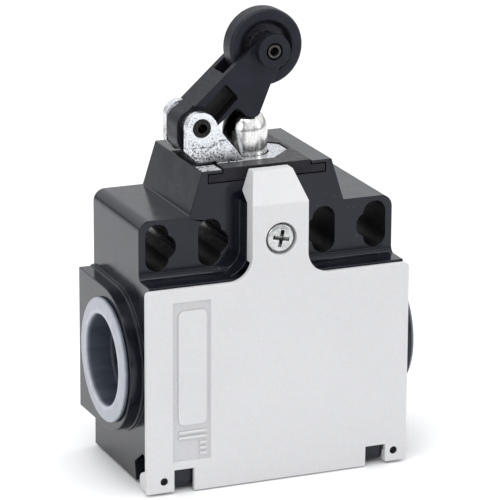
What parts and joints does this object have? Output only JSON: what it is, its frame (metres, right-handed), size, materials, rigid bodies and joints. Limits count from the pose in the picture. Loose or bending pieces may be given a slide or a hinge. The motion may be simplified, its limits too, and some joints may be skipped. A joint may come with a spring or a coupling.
{
  "type": "limit switch",
  "caption": "Plastic-bodied limit switch with a one-way roller lever over a plunger, side conduit entries with caps and a hinged front cover.",
  "frame": {"origin": "centre of the fixing-slot pattern on the rear mounting face", "axes": "+X to the right seen from the front, +Y out of the rear mounting face, +Z towards the roller lever"},
  "size_m": [0.0568, 0.0293, 0.0832],
  "materials": {
    "housing_plastic": "glossy black moulded thermoplastic",
    "lever_plastic": "satin charcoal moulded thermoplastic",
    "roller_plastic": "satin charcoal moulded roller",
    "cover_plastic": "light grey moulded plastic, fine texture",
    "cap_plastic": "translucent natural polyethylene",
    "zinc_steel": "zinc plated, speckled",
    "bright_steel": "bright plated steel",
    "black_steel": "blackened steel",
    "nickel": "polished nickel",
    "brass": "turned brass",
    "silver_alloy": "silver contact alloy",
    "seal_rubber": "black moulded rubber",
    "block_plastic": "cream moulded plastic",
    "rod_plastic": "red moulded plastic"
  },
  "bodies": {
    "body": {"housing": "housing_plastic", "cover_gasket": "seal_rubber", "cover_insert": "brass", "hinge_pin_left": "bright_steel", "hinge_pin_right": "bright_steel", "conduit_cap_left": "cap_plastic", "conduit_cap_right": "cap_plastic", "head_plate": "housing_plastic", "lever_bracket": "zinc_steel", "lever_pin": "black_steel", "lever_spacer_front": "black_steel", "lever_spacer_rear": "black_steel", "plunger_bush": "brass", "plunger_seal": "seal_rubber", "plunger_spring": "bright_steel", "spring_seat": "bright_steel", "contact_block_base": "block_plastic", "contact_block_cover": "block_plastic", "rod_return_spring": "bright_steel", "block_screw_left": "bright_steel", "block_screw_right": "bright_steel", "terminal_nc_left": "brass", "clamp_plate_nc_left": "zinc_steel", "terminal_screw_nc_left": "zinc_steel", "terminal_nc_right": "brass", "clamp_plate_nc_right": "zinc_steel", "terminal_screw_nc_right": "zinc_steel", "terminal_no_left": "brass", "clamp_plate_no_left": "zinc_steel", "terminal_screw_no_left": "zinc_steel", "terminal_no_right": "brass", "clamp_plate_no_right": "zinc_steel", "terminal_screw_no_right": "zinc_steel"},
    "cover": {"front_cover": "cover_plastic"},
    "cover_screw": {"cover_screw": "bright_steel"},
    "lever": {"roller_lever": "lever_plastic", "roller_pin": "bright_steel"},
    "roller": {"roller": "roller_plastic"},
    "plunger": {"plunger": "nickel"},
    "push_rod": {"contact_push_rod": "rod_plastic", "nc_bridge": "silver_alloy", "nc_contact_spring": "bright_steel"},
    "no_bridge": {"no_bridge": "silver_alloy", "no_contact_spring": "bright_steel"}
  },
  "joints": [
    {"name": "lever_pivot", "type": "hinge", "parent": "body", "child": "lever", "pos_m": [-0.01069, -0.0125, 0.01968], "axis": [0, 1, 0], "range_deg": [0, 22], "stiffness_Nm_per_rad": 0.12, "springref_deg": -14.32},
    {"name": "roller_spin", "type": "hinge", "parent": "lever", "child": "roller", "pos_m": [0.00335, -0.0125, 0.03228], "axis": [0, 1, 0], "continuous": true},
    {"name": "plunger_slide", "type": "slide", "parent": "body", "child": "plunger", "axis": [0, 0, -1], "range_m": [0, 0.0043], "deforming": ["plunger_spring"]},
    {"name": "push_rod_slide", "type": "slide", "parent": "body", "child": "push_rod", "axis": [0, 0, -1], "range_m": [0, 0.0043], "deforming": ["rod_return_spring"]},
    {"name": "no_bridge_slide", "type": "slide", "parent": "body", "child": "no_bridge", "axis": [0, 0, -1], "range_m": [0, 0.0031], "deforming": ["no_contact_spring"]},
    {"name": "cover_hinge", "type": "hinge", "parent": "body", "child": "cover", "pos_m": [0, -0.0263, -0.042], "axis": [1, 0, 0], "range_deg": [0, 90]},
    {"name": "cover_screw_slide", "type": "slide", "parent": "cover", "child": "cover_screw", "axis": [0, -1, 0], "range_m": [0, 0.006]}
  ],
  "couplings": [
    {"joint": "plunger_slide", "follows": "lever_pivot", "m_per_rad": 0.011},
    {"joint": "push_rod_slide", "follows": "lever_pivot", "m_per_rad": 0.011},
    {"joint": "no_bridge_slide", "follows": "lever_pivot", "m_per_rad": 0.0079}
  ]
}
